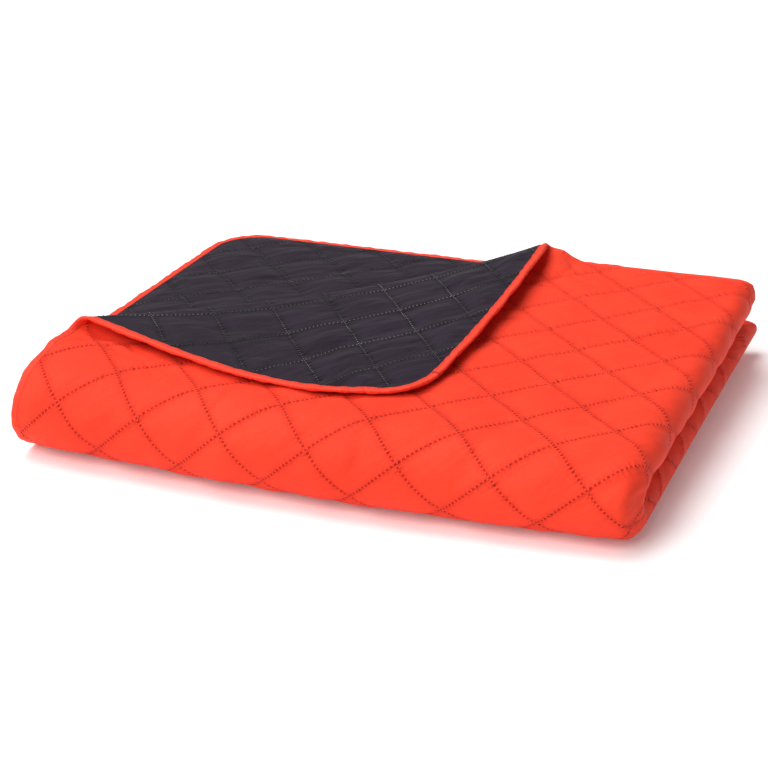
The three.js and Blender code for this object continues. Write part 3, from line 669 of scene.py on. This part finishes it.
# A needle hole: half its width in millimetres, half its length as a share of a stitch's, how
# far out it ends as a share of both, and how softly
HOLE = dict(half_width=1.05, share=0.26, edge=1.4, softness=0.3)
HOLE_SHADE_RANGE = dict(swing=1.5, least=0.15, most=0.95)                # how unevenly the painted shade in the holes shows
RIPPLE = dict(along=15.0, across=3.0)         # puckers, to a diamond's side
TAPE_RIPPLE = dict(along=16.0, across=1.2)    # to a diamond's side, and to the tape's width
LONG_FOLD = dict(scale=(1.1, 3.2, 1.0), turn=(0.0, 0.0, 0.5))
FADE_RATE = dict(pucker=5.5, valley=10.0, seam=12.0)         # 1 over the reach, in map units
TAPE_SHADE = dict(ripple=0.6, seam=0.7)
THREAD_SHADE = dict(twist=0.5, swing=3.2, shift=-1.1)        # swing and shift bury it unevenly
NOISE = dict(patchy_shade=11.0, buried=13.0, cloud=14.0, tape_mottle=300.0, mottle=420.0, twist=900.0,
             weave=2600.0)      # to the metre


class Graph:
    """A new node material, with short ways to add nodes to its tree."""

    def __init__(self, name):
        self.made = bpy.data.materials.new(name)
        self.made.use_nodes = True
        self.tree = self.made.node_tree

    def feed(self, socket, value):
        """Link a socket to another, or give it a fixed value."""
        if isinstance(value, bpy.types.NodeSocket):
            self.tree.links.new(value, socket)
        else:
            socket.default_value = value

    def add(self, kind, inputs=None, **settings):
        node = self.tree.nodes.new(kind)
        for key, value in settings.items():
            setattr(node, key, value)
        for key, value in (inputs or {}).items():
            self.feed(node.inputs[key], value)
        return node

    def surface(self, values):
        """Feed the shader's sockets, and give back the material."""
        shader = self.tree.nodes["Principled BSDF"]
        for key, value in values.items():
            self.feed(shader.inputs[key], value)
        return self.made

    def place(self):
        return self.add("ShaderNodeTexCoord").outputs["Object"]

    def own_map(self):
        return self.add("ShaderNodeUVMap", uv_map="quilting").outputs["UV"]

    def parts(self, vector):
        return self.add("ShaderNodeSeparateXYZ", {0: vector}).outputs

    def vector(self, x, y, z=0.0):
        return self.add("ShaderNodeCombineXYZ", {0: x, 1: y, 2: z}).outputs[0]

    def math(self, operation, a, b=0.0, c=0.0):
        return self.add("ShaderNodeMath", {0: a, 1: b, 2: c}, operation=operation).outputs[0]

    def times(self, a, b):
        return self.math("MULTIPLY", a, b)

    def between(self, value, low, high):
        return self.math("MINIMUM", self.math("MAXIMUM", value, low), high)

    def fall(self, value, rate):
        """1 at 0, and down in a straight line to 0 at 1 / rate and past it."""
        return self.math("MAXIMUM", self.math("SUBTRACT", 1.0, self.times(value, rate)), 0.0)

    def noise(self, vector, scale, detail=2.0, roughness=0.5):
        return self.add("ShaderNodeTexNoise", {"Vector": vector, "Scale": scale, "Detail": detail,
                                               "Roughness": roughness}).outputs["Fac"]

    def blend(self, factor, a, b):
        return self.add("ShaderNodeMix", {0: factor, 6: a, 7: b}, data_type="RGBA").outputs[2]

    def bumps(self, *rows):
        """Bumps one on another, each a height field and its depth in metres."""
        below = {}
        for height, distance in rows:
            inputs = {"Height": height, "Distance": distance, "Strength": 1.0, **below}
            below = {"Normal": self.add("ShaderNodeBump", inputs).outputs["Normal"]}
        return below["Normal"]


def quilt_fields(graph):
    """From the piece's own map, where each stitch line is a whole number: the map itself, the
    needle holes between stitches, the nearness of a stitch line, and the pucker beside it."""
    uv = graph.own_map()
    parts = graph.parts(uv)
    lines, holes, puckers = [], [], []
    for line, along, seed in ((parts[0], parts[1], 3.0), (parts[1], parts[0], 17.0)):
        off = graph.math("PINGPONG", line, 0.5)
        bead = graph.math("PINGPONG", graph.times(along, STITCHES_PER_SIDE), 0.5)
        near = graph.math("DIVIDE", off, HOLE["half_width"] / SIDE)
        reach = graph.math("DIVIDE", bead, HOLE["share"])
        far = graph.math("SQRT", graph.math("ADD", graph.times(near, near), graph.times(reach, reach)))
        rise = graph.math("SUBTRACT", HOLE["edge"], far)
        holes.append(graph.math("SMOOTH_MIN", rise, 1.0, HOLE["softness"]))
        lines.append(off)
        waves = graph.vector(graph.times(along, RIPPLE["along"]), graph.times(line, RIPPLE["across"]), seed)
        fade = graph.fall(off, FADE_RATE["pucker"])
        puckers.append(graph.times(graph.noise(waves, 1.0), graph.times(fade, fade)))
    hole = graph.math("MAXIMUM", graph.math("MAXIMUM", *holes), 0.0)
    valley = graph.fall(graph.math("MINIMUM", *lines), FADE_RATE["valley"])
    return uv, hole, valley, graph.math("ADD", *puckers)


def fabric(name, colour, shade, hole_shade_colour, holes, hole_fade, sheen, roughness, limp, lines):
    """Brushed microfibre: fine mottle and weave, painted shade along the stitched valleys and in the
    needle holes, the holes' shade weaker towards the back and uneven by noise, puckers, and long folds in
    the diamonds."""
    graph = Graph(name)
    place = graph.place()
    uv, hole, valley, pucker = quilt_fields(graph)
    cloud = graph.noise(place, NOISE["cloud"], 3.0, 0.55)
    mottle = graph.noise(place, NOISE["mottle"], 2.0, 0.6)
    weave = graph.noise(place, NOISE["weave"], 1.0)
    tone = graph.math("MULTIPLY_ADD", mottle, TONE["mottle"], graph.times(cloud, TONE["cloud"]))
    base = graph.blend(graph.times(tone, TONE["whole"]), colour, shade)
    # Painted shade along the stitched valleys, as strong as lines says
    valley_shaded = graph.blend(graph.times(valley, lines), base, shade)
    # Painted shade in the needle holes: its strength falls for each metre back and swings by noise, held
    # between least and most
    darkening = graph.math("MULTIPLY_ADD", graph.parts(place)[1], -hole_fade, holes - HOLE_SHADE_RANGE["swing"] / 2)
    uneven = graph.math("MULTIPLY_ADD", graph.noise(place, NOISE["patchy_shade"]), HOLE_SHADE_RANGE["swing"], darkening)
    uneven = graph.math("MAXIMUM", uneven, HOLE_SHADE_RANGE["least"])
    shown = graph.math("MINIMUM", graph.times(hole, uneven), HOLE_SHADE_RANGE["most"])
    wrinkle = graph.add("ShaderNodeMapping", {"Vector": uv, "Scale": LONG_FOLD["scale"],
                                              "Rotation": LONG_FOLD["turn"]}).outputs[0]
    return graph.surface({
        # The colour carries painted shade along the stitched valleys and in the needle holes
        "Base Color": graph.blend(shown, valley_shaded, hole_shade_colour),
        "Roughness": graph.math("MULTIPLY_ADD", mottle, GRAIN_SWING, roughness - GRAIN_SWING / 2),
        "Normal": graph.bumps((graph.noise(wrinkle, 1.0, 2.0, 0.45), limp), (pucker, 0.0045),
                              (valley, -0.0006), (shown, -0.0006), (mottle, 0.00012),
                              (weave, 0.00005)),
        "Sheen Weight": sheen,
        "Sheen Roughness": 0.45,
        "Specular IOR Level": 0.09,
    })


def tape(name, colour, shade):
    """The binding: the same yarn, a little closer woven, puckered across and darker at its seam with
    painted shade.
    """
    graph = Graph(name)
    parts = graph.parts(graph.own_map())
    ripple = graph.noise(graph.vector(graph.times(parts[0], TAPE_RIPPLE["along"]),
                                      graph.times(parts[1], TAPE_RIPPLE["across"])), 1.0)
    mottle = graph.noise(graph.place(), NOISE["tape_mottle"], 2.0, 0.6)
    off_seam = graph.math("ABSOLUTE", graph.math("SUBTRACT", parts[1], GROOVE["place"] / BINDING_WIDTH))
    near = graph.fall(off_seam, FADE_RATE["seam"])
    darkening = graph.blend(graph.times(ripple, TAPE_SHADE["ripple"]), colour, shade)
    return graph.surface({
        # Painted shade along the sewn groove
        "Base Color": graph.blend(graph.times(near, TAPE_SHADE["seam"]), darkening, STITCH_SHADOW),
        "Normal": graph.bumps((ripple, 0.0012), (mottle, 0.00015)),
        "Roughness": 0.62,
        "Sheen Weight": 0.03,
        "Specular IOR Level": 0.2,
    })


def thread(name, colour, cloth_colour, roughness):
    """Sewing thread, faintly twisted, that sinks into its cloth's colour here and there."""
    graph = Graph(name)
    place = graph.place()
    twist = graph.noise(place, NOISE["twist"], 1.0)
    buried = graph.math("MULTIPLY_ADD", graph.noise(place, NOISE["buried"]), THREAD_SHADE["swing"],
                        THREAD_SHADE["shift"])
    pale = graph.blend(graph.times(twist, THREAD_SHADE["twist"]), colour, cloth_colour)
    return graph.surface({
        "Base Color": graph.blend(graph.between(buried, 0.0, 1.0), pale, cloth_colour),
        "Roughness": roughness,
    })


# Pieces

def build_face():
    piece = cloth("face_side", face_columns(), face_rows(), face_depth, 1)
    piece.data.materials.append(fabric("vermilion_microfibre", **FACE_FINISH))
    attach(piece, "root")
    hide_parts("face_cloth")
    return piece


def build_reverse():
    piece = cloth("reverse_side", reverse_columns(), reverse_rows(), reverse_depth, -1)
    piece.data.materials.append(fabric("charcoal_microfibre", **REVERSE_FINISH))
    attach(piece, "root")
    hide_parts("reverse_cloth")
    return piece


def build_binding():
    piece = binding()
    piece.data.materials.append(tape("vermilion_tape", VERMILION, DEEP_VERMILION))
    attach(piece, "root")
    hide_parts("edge_binding")
    return piece


def inside_rim(u, v):
    return rim_distance(u, v) > THREAD_INSET


def bared(u, v):
    return inside_rim(u, v) & (u < 1) & (past_hinge(u, v) > THREADS_FROM)


def bared_top(u, v):
    return bared(u, v) & (v < 1)


def build_face_stitches():
    """Threads wherever the face shows."""
    parts = stitches(face_depth, 1, False, inside_rim, FACE_THREAD, PROUD["face"])
    piece = spindles("face_stitches", *parts, FACE_THREAD)
    piece.data.materials.append(thread("red_thread", RED_THREAD, VERMILION, 0.6))
    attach(piece, "root")
    return piece


def build_reverse_stitches():
    """Threads on the turned corner and on the layer that it uncovers."""
    turned = stitches(reverse_depth, -1, False, bared_top, REVERSE_THREAD, PROUD["turned"])
    second = stitches(reverse_depth, -1, True, bared, REVERSE_THREAD, PROUD["second"])
    parts = [np.concatenate(pair) for pair in zip(turned, second)]
    piece = spindles("reverse_stitches", *parts, REVERSE_THREAD)
    piece.data.materials.append(thread("pale_thread", PALE_THREAD, CHARCOAL, 0.7))
    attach(piece, "root")
    return piece


# Studio

# The camera's place is from the plan's zero, and its two clipping distances are in metres
CAMERA = dict(place=(536.17, -1656.90, 842.32), pitch=21.782, yaw=22.103, focal_px=2277.25,
              image_px=768, sensor=36.0, nearest=0.05, furthest=30.0)
# Height and width in degrees, and the way the light travels, turned from straight back
LIGHTS = {
    "key": dict(strength=2.2, width=44.0, height=64.0, turn=-108.0),
    "fill": dict(strength=2.05, width=50.0, height=44.0, turn=-22.0),
}
SKY = 0.15
FLOOR_COLOUR = (0.97, 0.97, 0.97, 1.0)
FLOOR_GLOW = 0.12               # the floor's own faint light, so that shadows on it stay soft
FLOOR_HALF = 6.0                # in metres


def place_camera():
    """The photo's angle and its field of view."""
    lens = bpy.data.cameras.new("camera")
    lens.sensor_width = CAMERA["sensor"]
    lens.lens = CAMERA["focal_px"] / CAMERA["image_px"] * CAMERA["sensor"]
    lens.clip_start, lens.clip_end = CAMERA["nearest"], CAMERA["furthest"]
    camera = bpy.data.objects.new("camera", lens)
    camera.location = (np.array(CAMERA["place"]) + PLACE) * MM
    camera.rotation_euler = (math.radians(90 - CAMERA["pitch"]), 0, math.radians(CAMERA["yaw"]))
    bpy.context.scene.collection.objects.link(camera)
    bpy.context.scene.camera = camera


def lay_floor():
    """A pale square."""
    mesh = bpy.data.meshes.new("floor")
    corners = [(x * FLOOR_HALF, y * FLOOR_HALF, 0) for x, y in ((-1, -1), (1, -1), (1, 1), (-1, 1))]
    mesh.from_pydata(corners, [], [(0, 1, 2, 3)])
    floor = bpy.data.objects.new("floor", mesh)
    bpy.context.scene.collection.objects.link(floor)
    floor.data.materials.append(Graph("pale_floor").surface({
        "Base Color": FLOOR_COLOUR,
        "Emission Color": WHITE,
        "Emission Strength": FLOOR_GLOW,
        "Roughness": 0.9,
    }))


def light():
    """Two wide soft lights and a white sky."""
    for name, row in LIGHTS.items():
        lamp = bpy.data.lights.new(name, "SUN")
        lamp.energy, lamp.angle = row["strength"], math.radians(row["width"])
        holder = bpy.data.objects.new(name, lamp)
        holder.rotation_euler = (math.radians(90 - row["height"]), 0, math.radians(row["turn"]))
        bpy.context.scene.collection.objects.link(holder)
    world = bpy.data.worlds.new("studio")
    world.use_nodes = True
    background = world.node_tree.nodes["Background"]
    background.inputs["Color"].default_value = WHITE
    background.inputs["Strength"].default_value = SKY
    bpy.context.scene.world = world
    bpy.context.scene.view_settings.view_transform = "Standard"


place_camera()
lay_floor()
light()
face_piece = build_face()
reverse_piece = build_reverse()
binding_piece = build_binding()
face_stitches = build_face_stitches()
reverse_stitches = build_reverse_stitches()
